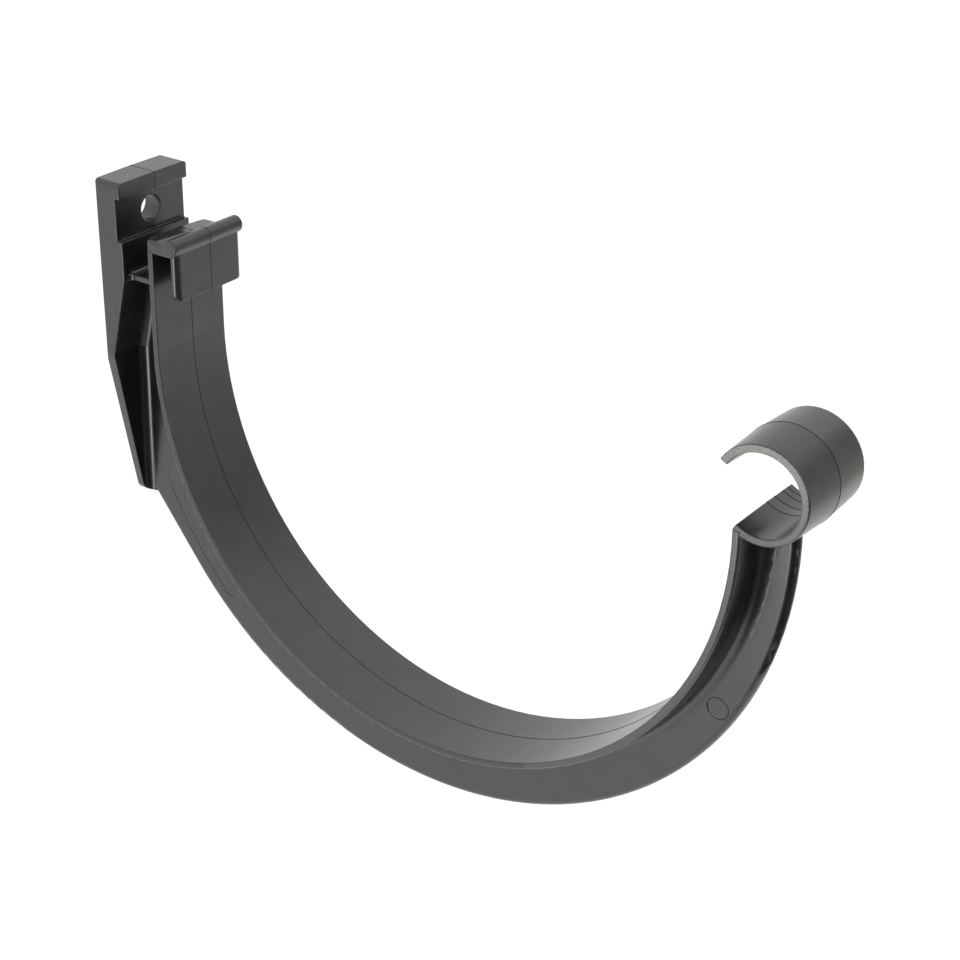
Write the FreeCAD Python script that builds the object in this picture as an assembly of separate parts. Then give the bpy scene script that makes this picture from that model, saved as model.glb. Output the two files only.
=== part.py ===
import FreeCAD, Part
import math
import os

# A rainwater gutter bracket, moulded in one piece from a rigid plastic.
# A wall plate takes one screw. A T-section band carries the half-round gutter. A hollow roll in
# front takes the gutter's beaded edge, and a clip behind holds its back edge down.
# Millimetres. The origin lies in the wall face, at the height of the gutter's centre line and in the
# middle of the bracket's width. +X points away from the wall, +Y along the gutter and +Z up.
# The mould opens along Y. Heights are measured from the gutter's centre line.

Vector = FreeCAD.Vector

# Band that the gutter lies in
seat_radius = 62.5
band_width = 18.55
band_edge = 1.4
band_root = 1.95
band_edge_round = 0.45
band_lip_round = 0.12
seat_draw = 0.1

# Web under the band
web_thickness = 2.65
web_rim_round = 1.25
web_depth_front = 7.65
web_depth_bottom = 14.85
web_depth_back = 16.85
web_root_fillet = 2.2
web_foot_fillet = 1.5
web_foot_flare = 1.9

# Wall plate
screw_height = 24.4
plate_width = 18.3
plate_above_screw = 7.25
plate_thickness = 6.25
plate_corner = 1.2
recess_depth = 1.15
recess_above_screw = 3.85
recess_below_screw = 4.2
tongue_top = -3.9
tongue_bottom = -35.6
tongue_root_thickness = 2.1
tongue_tip_thickness = 1.5
tongue_tip_width = 5.7
tongue_corner = 2.2
plate_fillet = 1.8

# Screw hole, for a 4.5 mm screw
screw_hole = 5.1
screw_mouth = 7.6
screw_mouth_depth = 1.2

# Clip for the gutter's back edge
clip_gap = 6.3
clip_width = 18.2
slot_width = 4.2
roof_height = 22.05
roof_thickness = 2.35
roof_fall = 0.25
roof_ridge = 0.5
roof_groove = 0.4
roof_near_round = 1.0
roof_far_round = 3.2
lip_width = 17.7
lip_thickness = 1.5
lip_bottom = 11.15
lip_side_round = 1.2
lip_corner = 1.6
bead_radius = 1.7
bead_drop = 0.45
bead_proud = 0.35

# Rib between the plate and the band
rib_bottom = 12.4
rib_thickness = 1.2
rib_width = 15.2
rib_fillet = 0.8

# Front roll
roll_width = 18.25
roll_bore_middle = 6.95
roll_bore_end = 7.3
roll_middle = 9.12
roll_end = 8.75
roll_height = 9.22
roll_tip_angle = 149.5
roll_lip_angle = 237.5
roll_edge_round = 0.25
roll_step = 0.06
roll_steps = (3.05, 5.8)

# Marks in the web's face
label_outer = 14.05
label_width = 6.9
label_start = 203.0
label_end = 225.3
label_corner = 2.2
mark_depth = 0.12
ejector_mark = 4.2
ejector_angle = 327.1
ejector_depth = 6.2

# Where the mould's halves meet, and how far the moulding is drawn in from there to its two ends
parting = 0.35
draw = 0.1
end_round = 0.3

# How far pieces of the moulding reach into each other, and cutters past them
overlap = 0.6
lip_lap = 8.0
clear = 2.0

# Edges nearer than this to a point pass through it
touching = 0.01

# Places worked out from the sizes
band_half = band_width / 2
web_half = web_thickness / 2
clip_half = clip_width / 2
plate_half = plate_width / 2
axis_x = plate_thickness + clip_gap + band_edge + seat_radius
lip_half = lip_width / 2
plate_top = screw_height + plate_above_screw
recess_top = screw_height + recess_above_screw
recess_bottom = screw_height - recess_below_screw
block_bottom = rib_bottom + rib_thickness / 3
upright_front = axis_x - seat_radius
upright_back = upright_front - band_root
rim_radius = seat_radius + (web_depth_front + web_depth_back) / 2
rim_x = axis_x - (web_depth_back - web_depth_front) / 2
rim_z = (web_depth_front + web_depth_back) / 2 - web_depth_bottom
lip_turn = math.radians(roll_lip_angle)
roll_x = axis_x + seat_radius + band_edge / 2 - roll_bore_middle * math.cos(lip_turn)
lip_x = upright_front + slot_width
bead_x = lip_x + lip_thickness + bead_proud - bead_radius
bead_z = roof_height - bead_drop
slot_roof = roof_height - roof_thickness
recess_floor = plate_thickness - recess_depth


def flat(points):
    """Plane face with straight sides."""
    return Part.Face(Part.makePolygon(points + points[:1]))


def around(centre_x, centre_z, radius, angle):
    """Point on a circle about a line along the gutter, at an angle from +X towards +Z."""
    turn = math.radians(angle)
    return Vector(centre_x + radius * math.cos(turn), 0, centre_z + radius * math.sin(turn))


def arc(centre_x, centre_z, radius, start, end):
    """Circular edge between two angles."""
    angles = (start, (start + end) / 2, end)
    return Part.Arc(*[around(centre_x, centre_z, radius, angle) for angle in angles]).toShape()


def bend(before, corner, after, radius):
    """Start, middle and end of the arc that rounds a corner."""
    back = (before - corner).normalize()
    on = (after - corner).normalize()
    half = back.getAngle(on) / 2
    reach = radius / math.tan(half)
    middle = corner + (back + on).normalize() * (radius / math.sin(half) - radius)
    return corner + back * reach, middle, corner + on * reach


def rounded(corners):
    """Plane face from (point, radius) corners, each rounded by its own radius."""
    bends = []
    for i, (corner, radius) in enumerate(corners):
        if radius:
            before = corners[i - 1][0]
            after = corners[(i + 1) % len(corners)][0]
            bends.append(bend(before, corner, after, radius))
        else:
            bends.append((corner,))
    edges = []
    for i, points in enumerate(bends):
        if len(points) == 3:
            edges.append(Part.Arc(*points).toShape())
        following = bends[(i + 1) % len(bends)][0]
        edges.append(Part.LineSegment(points[-1], following).toShape())
    return Part.Face(Part.Wire(edges))


def drawn_in(outline, share, inset):
    """Corners of an (x, z, draw) section whose sides moved in by a share of their draw and an inset."""
    sides = []
    for i, (x, z, side_draw) in enumerate(outline):
        end_x, end_z, _ = outline[(i + 1) % len(outline)]
        along = Vector(end_x - x, 0, end_z - z).normalize()
        inward = side_draw * share + inset
        sides.append((Vector(x - along.z * inward, 0, z + along.x * inward), along))
    corners = []
    for i, (point, along) in enumerate(sides):
        last_point, last_along = sides[i - 1]
        turn = last_along.x * along.z - last_along.z * along.x
        gap = point - last_point
        reach = (gap.x * along.z - gap.z * along.x) / turn
        corners.append(last_point + last_along * reach)
    return corners


def mould_half(outline, depth):
    """Solid on one side of the parting plane, drawn in towards its end, which is rounded."""
    rings = [drawn_in(outline, 0, 0)]
    for turn in (0, 30, 60, 90):
        angle = math.radians(turn)
        y = depth - end_round * (1 - math.sin(angle))
        inset = end_round * (1 - math.cos(angle))
        ring = drawn_in(outline, y / depth, inset)
        rings.append([corner + Vector(0, y, 0) for corner in ring])
    faces = [flat(rings[0]), flat(rings[-1])]
    for near, far in zip(rings, rings[1:]):
        for i, corner in enumerate(near):
            j = (i + 1) % len(near)
            faces.append(flat([corner, near[j], far[j], far[i]]))
    shell = Part.makeShell(faces)
    shell.sewShape()
    return Part.makeSolid(shell)


def moulded(outline, half_width):
    """Solid from an anticlockwise section at the parting plane, drawn in towards both its ends."""
    far = mould_half(outline, half_width - parting)
    near = mould_half(outline, half_width + parting).mirror(Vector(0, 0, 0), Vector(0, 1, 0))
    whole = far.fuse(near)
    whole.translate(Vector(0, parting, 0))
    return whole


def cove(start, end, normal_a, normal_b, radius):
    """Fillet laid into the corner between two faces, from start to end."""
    sink = (normal_a + normal_b) * -overlap
    tangent_a = start + normal_a * radius
    tangent_b = start + normal_b * radius
    hollow = start + (normal_a + normal_b) * (radius * (1 - math.sqrt(0.5)))
    edges = [
        Part.LineSegment(start + sink, tangent_a - normal_b * overlap).toShape(),
        Part.LineSegment(tangent_a - normal_b * overlap, tangent_a).toShape(),
        Part.Arc(tangent_a, hollow, tangent_b).toShape(),
        Part.LineSegment(tangent_b, tangent_b - normal_a * overlap).toShape(),
        Part.LineSegment(tangent_b - normal_a * overlap, start + sink).toShape(),
    ]
    return Part.Face(Part.Wire(edges)).extrude(end - start)


def band_section(with_web):
    """T section of the band, taken on the wall side, with the web's root or without it."""
    root = seat_radius + band_root
    side = [
        (seat_radius, band_half, band_lip_round),
        (seat_radius + band_edge, band_half, band_edge_round),
    ]
    crest = []
    if with_web:
        side.append((root, web_half, web_root_fillet))
        side.append((root + web_root_fillet + overlap, web_half, 0))
    else:
        crest.append((root, parting, 0))
    other_side = [(radius, -y, corner) for radius, y, corner in reversed(side)]
    corners = [(seat_radius - seat_draw, parting, 0)] + side + crest + other_side
    return rounded([(Vector(axis_x - radius, y, 0), corner) for radius, y, corner in corners])


def make_band():
    """Half-round band, and its upright up to the clip."""
    wall_middle = (roll_bore_end + roll_end) / 2
    top = around(roll_x, roll_height, wall_middle, roll_lip_angle + lip_lap)
    sweep = 180 + math.degrees(math.asin(top.z / seat_radius))
    curve = band_section(True).revolve(Vector(axis_x, 0, 0), Vector(0, -1, 0), sweep)
    below_rib = band_section(True).extrude(Vector(0, 0, rib_bottom + rib_thickness / 2))
    upright = band_section(False).extrude(Vector(0, 0, slot_roof + overlap / 2))
    return [curve, below_rib, upright]


def along_gutter(centre_x, centre_z, radius, low_y, high_y):
    """Cylinder that lies along the gutter."""
    foot = Vector(centre_x, low_y, centre_z)
    return Part.makeCylinder(radius, high_y - low_y, foot, Vector(0, 1, 0))


def label_panel():
    """Shallow bare panel in the web's near face, bent about the gutter's centre line."""
    outer = seat_radius + label_outer
    inner = outer - label_width
    edges = [
        arc(axis_x, 0, outer, label_start, label_end),
        Part.LineSegment(around(axis_x, 0, outer, label_end),
                         around(axis_x, 0, inner, label_end)).toShape(),
        arc(axis_x, 0, inner, label_end, label_start),
        Part.LineSegment(around(axis_x, 0, inner, label_start),
                         around(axis_x, 0, outer, label_start)).toShape(),
    ]
    panel = Part.Face(Part.Wire(edges)).extrude(Vector(0, 2 * mark_depth, 0))
    upright_edges = [edge for edge in panel.Edges if isinstance(edge.Curve, Part.Line)
                     and abs(edge.Vertexes[0].Y - edge.Vertexes[1].Y) > mark_depth]
    panel = panel.makeFillet(label_corner, upright_edges)
    panel.translate(Vector(0, -web_half - mark_depth, 0))
    return panel


def ejector_dimple():
    """Shallow round mark of an ejector pin, in the web's near face."""
    pin = around(axis_x, 0, seat_radius + ejector_depth, ejector_angle)
    return along_gutter(pin.x, pin.z, ejector_mark / 2, -web_thickness, mark_depth - web_half)


def make_web():
    """Web between the band, the plate and the rib, with a fully rounded rim."""
    far_left = -plate_thickness
    drop = rim_z - tongue_bottom
    foot_distance = rim_radius + web_foot_flare
    foot_angle = 180 + math.degrees(math.asin(drop / foot_distance))
    touch_angle = foot_angle + math.degrees(math.acos(rim_radius / foot_distance))
    end_angle = 360 + math.degrees(math.asin((roll_height - rim_z) / rim_radius))
    rib_middle = rib_bottom + rib_thickness / 2
    start = Vector(far_left, 0, tongue_bottom)
    foot = around(rim_x, rim_z, foot_distance, foot_angle)
    touch = around(rim_x, rim_z, rim_radius, touch_angle)
    foot_bend = bend(start, foot, touch, web_foot_fillet)
    rim_edges = [
        Part.LineSegment(start, foot_bend[0]).toShape(),
        Part.Arc(*foot_bend).toShape(),
        Part.LineSegment(foot_bend[2], touch).toShape(),
        arc(rim_x, rim_z, rim_radius, touch_angle, end_angle),
    ]
    corners = [
        around(rim_x, rim_z, rim_radius, end_angle),
        Vector(axis_x, 0, roll_height),
        Vector(axis_x, 0, rib_middle),
        Vector(far_left, 0, rib_middle),
        start,
    ]
    inner_edges = [Part.LineSegment(a, b).toShape() for a, b in zip(corners, corners[1:])]
    outline = Part.Face(Part.Wire(rim_edges + inner_edges))
    outline.translate(Vector(0, -web_half, 0))
    web = outline.extrude(Vector(0, web_thickness, 0))
    rim_middles = [edge.valueAt((edge.FirstParameter + edge.LastParameter) / 2) for edge in rim_edges]
    rim = []
    for edge in web.Edges:
        middle = edge.valueAt((edge.FirstParameter + edge.LastParameter) / 2)
        level = Vector(middle.x, 0, middle.z)
        if abs(middle.y) > web_half / 2 and min(level.distanceToPoint(m) for m in rim_middles) < touching:
            rim.append(edge)
    web = web.makeFillet(web_rim_round, rim)

    band_middle = seat_radius + band_edge / 2
    roll_wall = (roll_bore_middle + roll_middle) / 2
    gutter = along_gutter(axis_x, 0, band_middle, -web_thickness, web_thickness)
    bore = along_gutter(roll_x, roll_height, roll_wall, -web_thickness, web_thickness)
    above = Part.makeBox(band_middle, 2 * web_thickness, seat_radius,
                         Vector(axis_x - band_middle, -web_thickness, 0))
    behind = Part.makeBox(plate_thickness + tongue_tip_thickness / 2, 2 * web_thickness,
                          2 * rim_radius, Vector(far_left, -web_thickness, -rim_radius))
    return web.cut([gutter, bore, above, behind])


def make_plate():
    """Wall plate with its recess for the screw head, and the tongue that tapers below it."""
    outline = [
        (0, tongue_bottom, 0),
        (tongue_tip_thickness, tongue_bottom, 0),
        (tongue_root_thickness, tongue_top, draw),
        (plate_thickness, block_bottom, draw),
        (plate_thickness, recess_bottom, draw),
        (recess_floor, recess_bottom, draw),
        (recess_floor, recess_top, draw),
        (plate_thickness, recess_top, draw),
        (plate_thickness, plate_top, draw),
        (0, plate_top, 0),
    ]
    tip_half = tongue_tip_width / 2
    front = rounded([
        (Vector(-clear, -tip_half, tongue_bottom), tongue_corner),
        (Vector(-clear, tip_half, tongue_bottom), tongue_corner),
        (Vector(-clear, plate_half, tongue_top), 0),
        (Vector(-clear, plate_half, plate_top), plate_corner),
        (Vector(-clear, -plate_half, plate_top), plate_corner),
        (Vector(-clear, -plate_half, tongue_top), 0),
    ])
    reach = Vector(plate_thickness + 2 * clear, 0, 0)
    plate = moulded(outline, plate_half).common(front.extrude(reach))

    # Fillets where the web stands on the plate
    stations = [
        Vector(tongue_tip_thickness, 0, tongue_bottom),
        Vector(tongue_root_thickness, 0, tongue_top),
        Vector(plate_thickness, 0, block_bottom),
    ]
    fillets = []
    for low, high in zip(stations, stations[1:]):
        along = (high - low).normalize()
        outward = Vector(along.z, 0, -along.x)
        for side in (-1, 1):
            foot = low + Vector(0, side * web_half, 0)
            fillets.append(cove(foot, foot + high - low, outward, Vector(0, side, 0), plate_fillet))
    envelope = front.extrude(reach + Vector(plate_fillet, 0, 0))
    fillets = [fillet.common(envelope) for fillet in fillets]
    return [plate] + fillets


def make_rib():
    """Rib that ties the band's upright to the plate, with fillets at the plate."""
    low = rib_bottom
    high = low + rib_thickness
    half = rib_width / 2
    left = plate_thickness - 2 * overlap
    right = upright_front - band_edge / 2
    outline = [(left, low, 0), (right, low, 0), (right, high, 0), (left, high, 0)]
    out = Vector(1, 0, 0)
    up = Vector(0, 0, 1)
    side = Vector(0, 1, 0)
    root = Vector(plate_thickness, 0, 0)
    flat_half = half - end_round
    fillets = [
        cove(root + side * -flat_half + up * high, root + side * flat_half + up * high,
             out, up, rib_fillet),
        cove(root - side * half + up * low, root - side * half + up * high, out, -side, rib_fillet),
        cove(root + side * half + up * low, root + side * half + up * high, out, side, rib_fillet),
    ]
    return [moulded(outline, half)] + fillets


def make_clip():
    """Clip over the gutter's back edge: a roof, a bead and a springy lip."""
    groove_x = bead_x - bead_radius
    groove_z = roof_height - roof_groove
    outline = [
        (upright_back, slot_roof - overlap, 0),
        (upright_front - overlap / 2, slot_roof - overlap, 0),
        (upright_front - overlap / 2, slot_roof, 0),
        (bead_x, slot_roof, 0),
        (bead_x, groove_z, 0),
        (groove_x, groove_z, 0),
        (upright_front + roof_ridge, roof_height + roof_fall, 0),
        (upright_back, roof_height + roof_fall, band_root - band_edge),
    ]
    ends = rounded([
        (Vector(0, -clip_half, 0), 0),
        (Vector(0, clip_half, 0), 0),
        (Vector(0, clip_half, roof_height - roof_fall), roof_far_round),
        (Vector(0, -clip_half, roof_height + roof_fall), roof_near_round),
    ])
    roof = moulded(outline, clip_half).common(ends.extrude(Vector(axis_x, 0, 0)))

    outer = lip_x + lip_thickness
    plan = rounded([
        (Vector(lip_x, -lip_half, 0), 0),
        (Vector(outer - draw, -lip_half, 0), lip_side_round),
        (Vector(outer, parting, 0), 0),
        (Vector(outer - draw, lip_half, 0), lip_side_round),
        (Vector(lip_x, lip_half, 0), 0),
    ])
    lip = plan.extrude(Vector(0, 0, bead_z))
    front = rounded([
        (Vector(0, -lip_half, lip_bottom), lip_corner),
        (Vector(0, lip_half, lip_bottom), lip_corner),
        (Vector(0, lip_half, bead_z + clear), 0),
        (Vector(0, -lip_half, bead_z + clear), 0),
    ])
    lip = lip.common(front.extrude(Vector(axis_x, 0, 0)))

    bead = turned([
        (0, -band_half, 0),
        (bead_radius - draw / 2, -band_half, end_round),
        (bead_radius, parting, 0),
        (bead_radius - draw / 2, band_half, end_round),
        (0, band_half, 0),
    ], bead_x, bead_z, 0, 360)
    return [roof, lip, bead]


def turned(points, centre_x, centre_z, start, sweep):
    """Solid turned about a line along the gutter, from (radius, y, corner) points."""
    section = rounded([(Vector(radius, y, 0), corner) for radius, y, corner in points])
    section.rotate(Vector(0, 0, 0), Vector(0, -1, 0), start)
    section.translate(Vector(centre_x, 0, centre_z))
    return section.revolve(Vector(centre_x, 0, centre_z), Vector(0, -1, 0), sweep)


def make_roll():
    """Hollow roll for the gutter's beaded edge, drafted both ways from the parting plane."""
    half = roll_width / 2
    section = [
        (roll_bore_end, -half, roll_edge_round),
        (roll_end, -half, roll_edge_round),
        (roll_middle, parting, 0),
        (roll_end, half, roll_edge_round),
        (roll_bore_end, half, roll_edge_round),
    ]
    for y in sorted(roll_steps, reverse=True):
        share = (y - parting) / (half - parting)
        bore = roll_bore_middle + (roll_bore_end - roll_bore_middle) * share
        section += [(bore + roll_step / 2, y, 0), (bore - roll_step / 2, y, 0)]
    section.append((roll_bore_middle, parting, 0))
    roll = turned(section, roll_x, roll_height, roll_lip_angle, 360 + roll_tip_angle - roll_lip_angle)

    # The lower lip keeps clear of the gutter's seat
    reach = band_width
    wide = seat_radius + seat_draw * (reach / band_half - 1)
    seat = turned([
        (0, -reach, 0),
        (wide, -reach, 0),
        (seat_radius - seat_draw, parting, 0),
        (wide, reach, 0),
        (0, reach, 0),
    ], axis_x, 0, 0, 360)
    lip_z = roll_height + roll_bore_middle * math.sin(lip_turn)
    low = Part.makeBox(3 * seat_radius, 2 * reach, lip_z + seat_radius,
                       Vector(axis_x - seat_radius, -reach, -seat_radius))
    return roll.cut(seat.common(low))


def screw_clearance():
    """Screw hole, widened at the wall face."""
    foot = Vector(0, 0, screw_height)
    out = Vector(1, 0, 0)
    shank = Part.makeCylinder(screw_hole / 2, plate_thickness + clear, foot, out)
    mouth = Part.makeCone(screw_mouth / 2, screw_hole / 2, screw_mouth_depth, foot, out)
    return shank.fuse(mouth)


def make_bracket():
    """The whole moulding as one solid."""
    pieces = make_band() + make_plate() + make_rib() + make_clip() + [make_web(), make_roll()]
    bracket = pieces[0].multiFuse(pieces[1:]).removeSplitter()
    return bracket.cut([screw_clearance(), label_panel(), ejector_dimple()])


os.makedirs("parts", exist_ok=True)
bracket = make_bracket()
bracket.exportStep("parts/gutter_bracket.step")
print("solids", len(bracket.Solids), "valid", bracket.isValid(), "volume", round(bracket.Volume, 1))
print("box", bracket.BoundBox)
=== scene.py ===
import math

import bpy
from mathutils import Matrix, Vector


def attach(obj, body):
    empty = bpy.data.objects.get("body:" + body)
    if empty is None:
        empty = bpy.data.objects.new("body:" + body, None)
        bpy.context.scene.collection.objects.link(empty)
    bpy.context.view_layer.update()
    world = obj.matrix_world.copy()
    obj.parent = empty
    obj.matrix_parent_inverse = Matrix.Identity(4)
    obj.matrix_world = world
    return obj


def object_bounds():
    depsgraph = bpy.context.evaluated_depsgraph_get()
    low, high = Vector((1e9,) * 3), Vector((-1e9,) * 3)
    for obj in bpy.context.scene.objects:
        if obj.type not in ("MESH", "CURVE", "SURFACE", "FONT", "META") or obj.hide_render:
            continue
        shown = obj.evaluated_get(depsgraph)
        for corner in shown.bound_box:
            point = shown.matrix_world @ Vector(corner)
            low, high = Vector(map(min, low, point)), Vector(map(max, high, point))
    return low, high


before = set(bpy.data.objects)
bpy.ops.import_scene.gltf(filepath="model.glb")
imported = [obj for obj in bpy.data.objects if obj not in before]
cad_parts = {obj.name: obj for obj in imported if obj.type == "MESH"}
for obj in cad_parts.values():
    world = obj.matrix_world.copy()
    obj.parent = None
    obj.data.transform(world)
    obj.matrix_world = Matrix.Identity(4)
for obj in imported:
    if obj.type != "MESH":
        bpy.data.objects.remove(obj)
cad_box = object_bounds()

MM = 0.001

# The photograph's view, worked out from the cradle's half circle and the wall plate's edges
camera_place = Vector((287.62, -282.27, 163.96)) * MM
camera_azimuth = math.radians(35.98)
camera_elevation = math.radians(26.48)
camera_roll = math.radians(0.576)
camera_lens = 82.31
sensor_width = 36.0

# Roll: axis in X and Z, how far the bore reaches from it, the bore's steps in Y, the end face in Y
roll_axis = (143.384 * MM, 9.22 * MM)
roll_bore_reach = 7.5 * MM
roll_bore_lines = (3.05 * MM, 5.8 * MM, 7.6 * MM)
roll_end_face = 9.125 * MM

# Matt ends of the roll, painted pale as a highlight that is stronger higher up: the share grows
# between two heights, is slight below them, and lies only beyond this X
matt_and_highlight_from, matt_and_highlight_full = 2.0 * MM, 19.0 * MM
matt_and_highlight_below = 0.12
matt_and_highlight_beyond = 100.0 * MM

# Ejector pin's mark on the web's near face, and the burr round it
ejector_place = (134.132 * MM, -1.325 * MM, -37.316 * MM)
ejector_radius = 2.1 * MM
burr_radius = 0.07 * MM

# Rounding that the edges show
edge_softness = 0.34 * MM

# Seams: the parting plane in Y, the flash, how far beside a step's edge the outline is taken, and
# how close two points count as one
parting = 0.35 * MM
flash_radius = 0.055 * MM
cut_offset = 0.02 * MM
merge_reach = 0.001 * MM

# Studio, in metres
floor_drop = 0.30
floor_size = 12.0


def linear(hex_colour):
    """Linear RGBA from an sRGB hex colour."""
    values = [int(hex_colour[i:i + 2], 16) / 255 for i in (0, 2, 4)]
    return [v / 12.92 if v <= 0.04045 else ((v + 0.055) / 1.055) ** 2.4 for v in values] + [1.0]


def add_node(tree, kind, settings=None, inputs=None):
    """Adds a node and sets its properties and sockets; a socket given as a value is linked."""
    node = tree.nodes.new(kind)
    for name, value in (settings or {}).items():
        setattr(node, name, value)
    for name, value in (inputs or {}).items():
        if isinstance(value, bpy.types.NodeSocket):
            tree.links.new(value, node.inputs[name])
        else:
            node.inputs[name].default_value = value
    return node


def new_material(name):
    """Empty node material and its output node."""
    material = bpy.data.materials.new(name)
    material.use_nodes = True
    material.node_tree.nodes.clear()
    output = add_node(material.node_tree, "ShaderNodeOutputMaterial")
    return material, material.node_tree, output


def ring_face_rough_and_highlight_share(tree, place):
    """Share of the roll's two end faces that the ejector sleeve left rough, and that is painted
    pale as a highlight, stronger higher up.
    """
    axes = add_node(tree, "ShaderNodeSeparateXYZ", {}, {0: place})
    across = add_node(tree, "ShaderNodeMath", {"operation": "ABSOLUTE"}, {0: axes.outputs["Y"]})
    at_end = add_node(tree, "ShaderNodeMapRange", {"interpolation_type": "SMOOTHSTEP"}, {
        "Value": across.outputs[0], "From Min": roll_end_face - 0.06 * MM,
        "From Max": roll_end_face - 0.02 * MM})
    on_roll = add_node(tree, "ShaderNodeMapRange", {"interpolation_type": "SMOOTHSTEP"}, {
        "Value": axes.outputs["Z"], "From Min": matt_and_highlight_from, "From Max": matt_and_highlight_full,
        "To Min": matt_and_highlight_below})
    in_front = add_node(tree, "ShaderNodeMath", {"operation": "GREATER_THAN"}, {
        0: axes.outputs["X"], 1: matt_and_highlight_beyond})
    end_share = add_node(tree, "ShaderNodeMath", {"operation": "MULTIPLY"}, {
        0: at_end.outputs["Result"], 1: on_roll.outputs["Result"]})
    return add_node(tree, "ShaderNodeMath", {"operation": "MULTIPLY"}, {
        0: end_share.outputs[0], 1: in_front.outputs[0]}).outputs[0]


def graphite_pvc():
    """Rigid PVC coloured graphite right through, moulded in a polished steel tool.
    It looks satin and slightly uneven, with softened edges, and rough on the roll's ends, where a
    pale colour is a painted highlight."""
    material, tree, output = new_material("graphite_pvc_moulded")
    place = add_node(tree, "ShaderNodeTexCoord").outputs["Object"]
    edge = add_node(tree, "ShaderNodeBevel", {"samples": 8}, {"Radius": edge_softness})
    # Share of the roll's ends that is rough and painted pale as a highlight
    matt_and_highlight = ring_face_rough_and_highlight_share(tree, place)

    # Fine grain of the tool's surface, really finer, drawn at 0.5 mm so that it shows
    grain = add_node(tree, "ShaderNodeTexNoise", {}, {
        "Vector": place, "Scale": 1 / (0.5 * MM), "Detail": 2.0})
    # Broad unevenness from the melt's flow, some 12.5 mm across
    flow = add_node(tree, "ShaderNodeTexNoise", {}, {
        "Vector": place, "Scale": 1 / (12.5 * MM), "Detail": 3.0})
    polished = add_node(tree, "ShaderNodeMapRange", {}, {
        "Value": flow.outputs["Fac"],
        "From Min": 0.3, "From Max": 0.7, "To Min": 0.23, "To Max": 0.29})
    roughness = add_node(tree, "ShaderNodeMix", {"data_type": "FLOAT"}, {
        0: matt_and_highlight, 2: polished.outputs["Result"], 3: 0.55})
    sink = add_node(tree, "ShaderNodeBump", {}, {
        "Height": flow.outputs["Fac"], "Strength": 0.10, "Distance": 1.0 * MM,
        "Normal": edge.outputs["Normal"]})
    bump = add_node(tree, "ShaderNodeBump", {}, {
        "Height": grain.outputs["Fac"], "Strength": 0.05, "Distance": 0.1 * MM,
        "Normal": sink.outputs["Normal"]})

    # Roll's ends: pale colour that is a painted highlight, with specks a third of a millimetre
    # across
    specks = add_node(tree, "ShaderNodeTexNoise", {}, {
        "Vector": place, "Scale": 3 / MM, "Detail": 3.0})
    pale = add_node(tree, "ShaderNodeMix", {"data_type": "RGBA"}, {
        0: specks.outputs["Fac"], 6: linear("777573"), 7: linear("C2BFBA")})
    # Cloudy skin where the plastic shrank unevenly, some 4 mm across
    clouds = add_node(tree, "ShaderNodeTexNoise", {}, {
        "Vector": place, "Scale": 1 / (4.0 * MM), "Detail": 2.0})
    cloud_share = add_node(tree, "ShaderNodeMapRange", {}, {
        "Value": clouds.outputs["Fac"], "From Min": 0.35, "From Max": 0.65})
    skin = add_node(tree, "ShaderNodeMix", {"data_type": "RGBA"}, {
        0: cloud_share.outputs["Result"], 6: linear("18181A"), 7: linear("232325")})
    # On the roll's ends the pale colour is a painted highlight over the dark skin
    colour = add_node(tree, "ShaderNodeMix", {"data_type": "RGBA"}, {
        0: matt_and_highlight, 6: skin.outputs[2], 7: pale.outputs[2]})
    shader = add_node(tree, "ShaderNodeBsdfPrincipled", {}, {
        "Base Color": colour.outputs[2],
        "Roughness": roughness.outputs[0],
        "IOR": 1.54,
        "Specular IOR Level": 0.85,
        "Normal": bump.outputs["Normal"],
    })
    tree.links.new(shader.outputs["BSDF"], output.inputs["Surface"])
    return material


def seam_pvc_painted_shade():
    """The same PVC where the tool's halves or rings meet, squeezed out as a hairline of flash.
    Its near-black, low-gloss colour is painted shade, standing in for the shade of a groove, so it
    shows as a thin dark line."""
    material, tree, output = new_material("graphite_pvc_flash_painted_shade")
    # Near-black colour and low gloss are painted shade of the seam's groove
    shader = add_node(tree, "ShaderNodeBsdfPrincipled", {}, {
        "Base Color": linear("0C0C0C"),
        "Roughness": 0.6,
        "IOR": 1.54,
        "Specular IOR Level": 0.15,
    })
    tree.links.new(shader.outputs["BSDF"], output.inputs["Surface"])
    return material


def pale_floor_material():
    """Matt white paint: white to the camera, with the object's shadow kept."""
    material, tree, output = new_material("matt_white_paint")
    paint = add_node(tree, "ShaderNodeBsdfDiffuse", {}, {"Color": linear("F4F4F4")})
    glow = add_node(tree, "ShaderNodeEmission", {}, {"Color": linear("FFFFFF"), "Strength": 1.25})
    path = add_node(tree, "ShaderNodeLightPath")
    seen = add_node(tree, "ShaderNodeMath", {"operation": "MAXIMUM"}, {
        0: path.outputs["Is Camera Ray"], 1: path.outputs["Is Glossy Ray"]})
    share = add_node(tree, "ShaderNodeMath", {"operation": "MULTIPLY"}, {
        0: seen.outputs[0], 1: 0.75})
    mix = add_node(tree, "ShaderNodeMixShader", {}, {0: share.outputs[0]})
    tree.links.new(paint.outputs["BSDF"], mix.inputs[1])
    tree.links.new(glow.outputs["Emission"], mix.inputs[2])
    tree.links.new(mix.outputs[0], output.inputs["Surface"])
    return material


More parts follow.
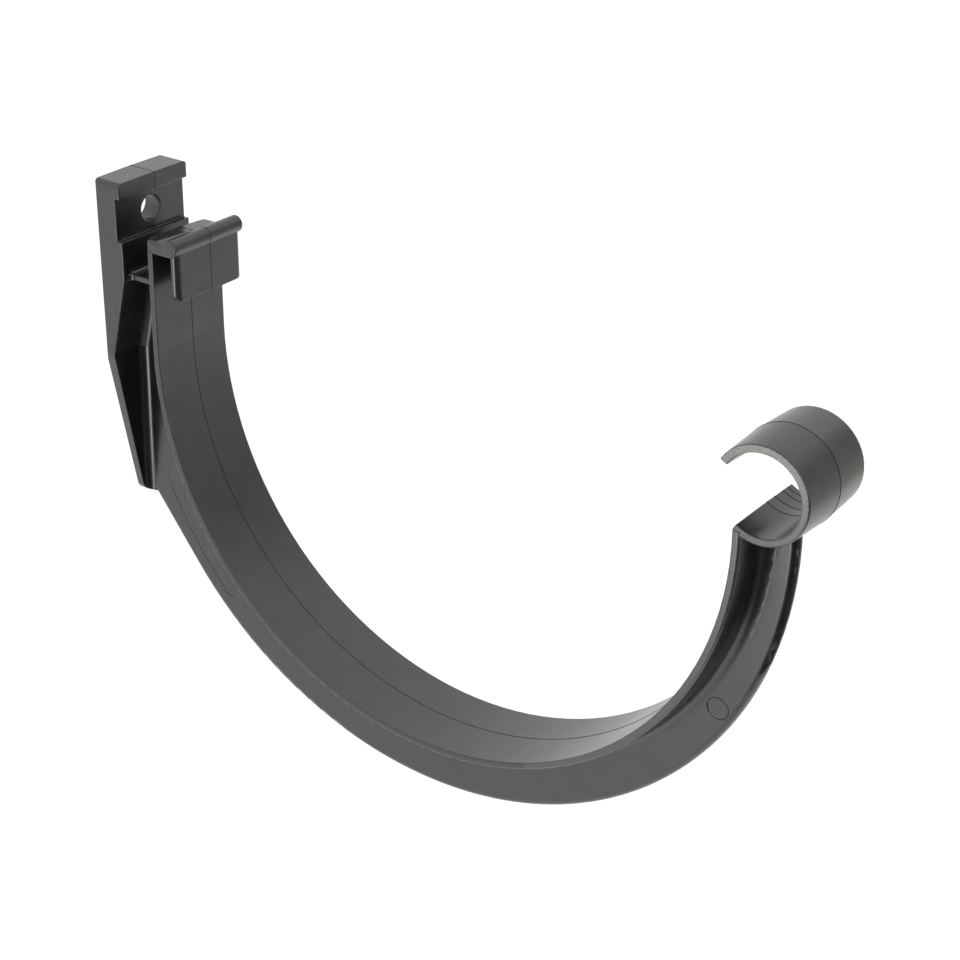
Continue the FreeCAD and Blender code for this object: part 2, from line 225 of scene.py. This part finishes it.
def build_studio():
    """White room: a pale floor well below the bracket and an even white surround."""
    bpy.ops.object.select_all(action="DESELECT")
    lowest = cad_box[0][2]
    bpy.ops.mesh.primitive_plane_add(size=floor_size, location=(0, 0, lowest - floor_drop))
    floor = bpy.context.object
    floor.name = "floor"
    bpy.ops.object.transform_apply(location=True, rotation=True, scale=True)
    floor.data.materials.append(pale_floor_material())

    world = bpy.data.worlds.new("white_surround")
    bpy.context.scene.world = world
    world.use_nodes = True
    tree = world.node_tree
    tree.nodes.clear()
    output = add_node(tree, "ShaderNodeOutputWorld")
    lit = add_node(tree, "ShaderNodeBackground", {}, {"Color": linear("FFFFFF"), "Strength": 0.8})
    white = add_node(tree, "ShaderNodeBackground", {}, {"Color": linear("FFFFFF"), "Strength": 1.0})
    path = add_node(tree, "ShaderNodeLightPath")
    eye = add_node(tree, "ShaderNodeMath", {"operation": "MAXIMUM"}, {
        0: path.outputs["Is Camera Ray"], 1: path.outputs["Is Transmission Ray"]})
    seen = add_node(tree, "ShaderNodeMath", {"operation": "MAXIMUM"}, {
        0: eye.outputs[0], 1: path.outputs["Is Glossy Ray"]})
    mix = add_node(tree, "ShaderNodeMixShader", {}, {0: seen.outputs[0]})
    tree.links.new(lit.outputs[0], mix.inputs[1])
    tree.links.new(white.outputs[0], mix.inputs[2])
    tree.links.new(mix.outputs[0], output.inputs["Surface"])


def matt_card_material(name, colour):
    """Matt painted board."""
    material, tree, output = new_material(name)
    paint = add_node(tree, "ShaderNodeBsdfDiffuse", {}, {"Color": linear(colour)})
    tree.links.new(paint.outputs["BSDF"], output.inputs["Surface"])
    return material


def screen_material(name, colour, axis, levels):
    """Lit cloth graded along an axis, from (place in metres, strength) pairs in rising order."""
    material, tree, output = new_material(name)
    place = add_node(tree, "ShaderNodeTexCoord").outputs["Object"]
    axes = add_node(tree, "ShaderNodeSeparateXYZ", {}, {0: place})
    first, last = levels[0][0], levels[-1][0]
    share = add_node(tree, "ShaderNodeMapRange", {}, {
        "Value": axes.outputs[axis], "From Min": first, "From Max": last})
    ramp = add_node(tree, "ShaderNodeValToRGB", {}, {"Fac": share.outputs["Result"]})
    stops = ramp.color_ramp.elements
    while len(stops) < len(levels):
        stops.new(0.5)
    for stop, (spot, strength) in zip(stops, levels):
        stop.position = (spot - first) / (last - first)
        stop.color = (strength, strength, strength, 1.0)
    glow = add_node(tree, "ShaderNodeEmission", {}, {
        "Color": linear(colour), "Strength": ramp.outputs["Color"]})
    tree.links.new(glow.outputs["Emission"], output.inputs["Surface"])
    return material


def add_card(name, place, target, size, material):
    """Board that faces a point, seen by the bracket's gloss and not by the camera."""
    bpy.ops.object.select_all(action="DESELECT")
    bpy.ops.mesh.primitive_plane_add(size=1.0)
    card = bpy.context.object
    card.name = name
    card.scale = (size[0], size[1], 1.0)
    card.rotation_euler = (place - target).to_track_quat("Z", "Y").to_euler()
    card.location = place
    bpy.ops.object.transform_apply(location=True, rotation=True, scale=True)
    card.data.materials.append(material)
    card.visible_camera = False
    card.visible_shadow = False


def add_softbox(name, place, target, size, power):
    """Rectangular softbox that faces a point."""
    light = bpy.data.lights.new(name, "AREA")
    light.shape = "RECTANGLE"
    light.size = size[0]
    light.size_y = size[1]
    light.energy = power
    lamp = bpy.data.objects.new(name, light)
    bpy.context.scene.collection.objects.link(lamp)
    lamp.location = place
    lamp.rotation_euler = (target - place).to_track_quat("-Z", "Y").to_euler()
    lamp.visible_camera = False


def light_bracket():
    """Softbox and boards that the bracket's satin skin reflects, which gives each face its grey."""
    middle = Vector((0.07, 0.0, -0.02))
    softbox_place = middle + 0.6 * Vector((-0.17, -0.93, -0.32))
    add_softbox("front_softbox", softbox_place, middle, (0.16, 0.16), 0.55)

    black_cloth = screen_material("black_cloth", "FFFFFF", "X", (
        (0.11, 0.7), (0.18, 0.04), (0.57, 0.01)))
    warm_cloth = screen_material("warm_grey_screen", "FFFBF3", "Z", (
        (-0.35, 0.84), (-0.15, 0.72), (0.0, 0.62), (0.3, 0.54), (0.6, 0.95)))
    # Name, distance and direction from the bracket's middle, width and height, material
    boards = (
        ("black_flag", 0.45, (0.6, -0.66, -0.45), (0.62, 0.34), black_cloth),
        ("front_grey_card", 0.75, (-0.28, -0.87, -0.40), (0.42, 0.5),
         matt_card_material("dim_grey_board", "D0D2D6")),
        ("side_flag", 0.45, (0.86, 0.16, -0.48), (0.36, 0.3),
         matt_card_material("dark_side_board", "7A7A7A")),
        ("warm_screen", 0.8, (0.66, 0.75, 0.0), (0.8, 1.3), warm_cloth),
    )
    for name, distance, direction, size, material in boards:
        add_card(name, middle + distance * Vector(direction), middle, size, material)


def add_camera():
    """Camera at the photograph's place and angle."""
    data = bpy.data.cameras.new("photo_camera")
    data.lens = camera_lens
    data.sensor_width = sensor_width
    data.clip_start = 0.01
    data.clip_end = 50.0
    camera = bpy.data.objects.new("photo_camera", data)
    bpy.context.scene.collection.objects.link(camera)
    turn = (Matrix.Rotation(camera_azimuth, 4, "Z")
            @ Matrix.Rotation(math.radians(90) - camera_elevation, 4, "X")
            @ Matrix.Rotation(camera_roll, 4, "Z"))
    camera.matrix_world = Matrix.Translation(camera_place) @ turn
    bpy.context.scene.camera = camera


def dress_bracket(bracket):
    """Gives the moulding its plastic."""
    bracket.data.materials.clear()
    bracket.data.materials.append(graphite_pvc())


def section_line(bracket, name, y, material, keep):
    """Fine bead along the moulding's outline at one Y, over the points that keep says yes to."""
    bpy.ops.object.select_all(action="DESELECT")
    line = bpy.data.objects.new(name, bracket.data.copy())
    bpy.context.scene.collection.objects.link(line)
    bpy.context.view_layer.objects.active = line
    line.select_set(True)
    bpy.ops.object.mode_set(mode="EDIT")
    bpy.ops.mesh.select_all(action="SELECT")
    bpy.ops.mesh.remove_doubles(threshold=merge_reach)
    bpy.ops.mesh.select_all(action="SELECT")
    bpy.ops.mesh.bisect(plane_co=(0.0, y, 0.0), plane_no=(0.0, 1.0, 0.0), use_fill=False,
                        clear_inner=True, clear_outer=True, threshold=merge_reach)
    bpy.ops.mesh.select_all(action="DESELECT")
    bpy.ops.object.mode_set(mode="OBJECT")
    for vertex in line.data.vertices:
        vertex.select = not keep(vertex.co)
    bpy.ops.object.mode_set(mode="EDIT")
    bpy.ops.mesh.delete(type="VERT")
    bpy.ops.object.mode_set(mode="OBJECT")
    bpy.ops.object.convert(target="CURVE")
    line = bpy.context.object
    line.data.bevel_depth = flash_radius
    line.data.bevel_resolution = 1
    bpy.ops.object.convert(target="MESH")
    line = bpy.context.object
    bpy.ops.object.shade_smooth()
    line.name = name
    line.data.materials.clear()
    line.data.materials.append(material)
    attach(line, "root")


def in_bore(point):
    """Whether a point of the outline lies on the roll's bore."""
    return math.hypot(point.x - roll_axis[0], point.z - roll_axis[1]) < roll_bore_reach


def add_ejector_burr(bracket):
    """Raised rim that the ejector pin pressed up round its mark in the web's near face."""
    bpy.ops.object.select_all(action="DESELECT")
    bpy.ops.mesh.primitive_torus_add(
        major_segments=64, minor_segments=10, major_radius=ejector_radius, minor_radius=burr_radius,
        location=ejector_place, rotation=(math.radians(90), 0.0, 0.0))
    burr = bpy.context.object
    burr.name = "ejector_burr"
    bpy.ops.object.transform_apply(location=True, rotation=True, scale=True)
    bpy.ops.object.shade_smooth()
    burr.data.materials.append(bracket.data.materials[0])
    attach(burr, "root")


def add_seams(bracket):
    """Flash at the parting plane and the tool's fine rings in the roll's bore, near-black as
    painted shade of their grooves.
    """
    # The seams' near-black colour is painted shade, not the plastic's own colour
    flash = seam_pvc_painted_shade()
    section_line(bracket, "parting_flash", parting - cut_offset, flash, lambda point: True)
    for number, y in enumerate(roll_bore_lines, start=1):
        section_line(bracket, f"roll_bore_ring_{number}", y - cut_offset, flash, in_bore)


bpy.context.scene.view_settings.view_transform = "Standard"
add_camera()
build_studio()
light_bracket()
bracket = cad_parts["gutter_bracket"]
dress_bracket(bracket)
add_seams(bracket)
add_ejector_burr(bracket)
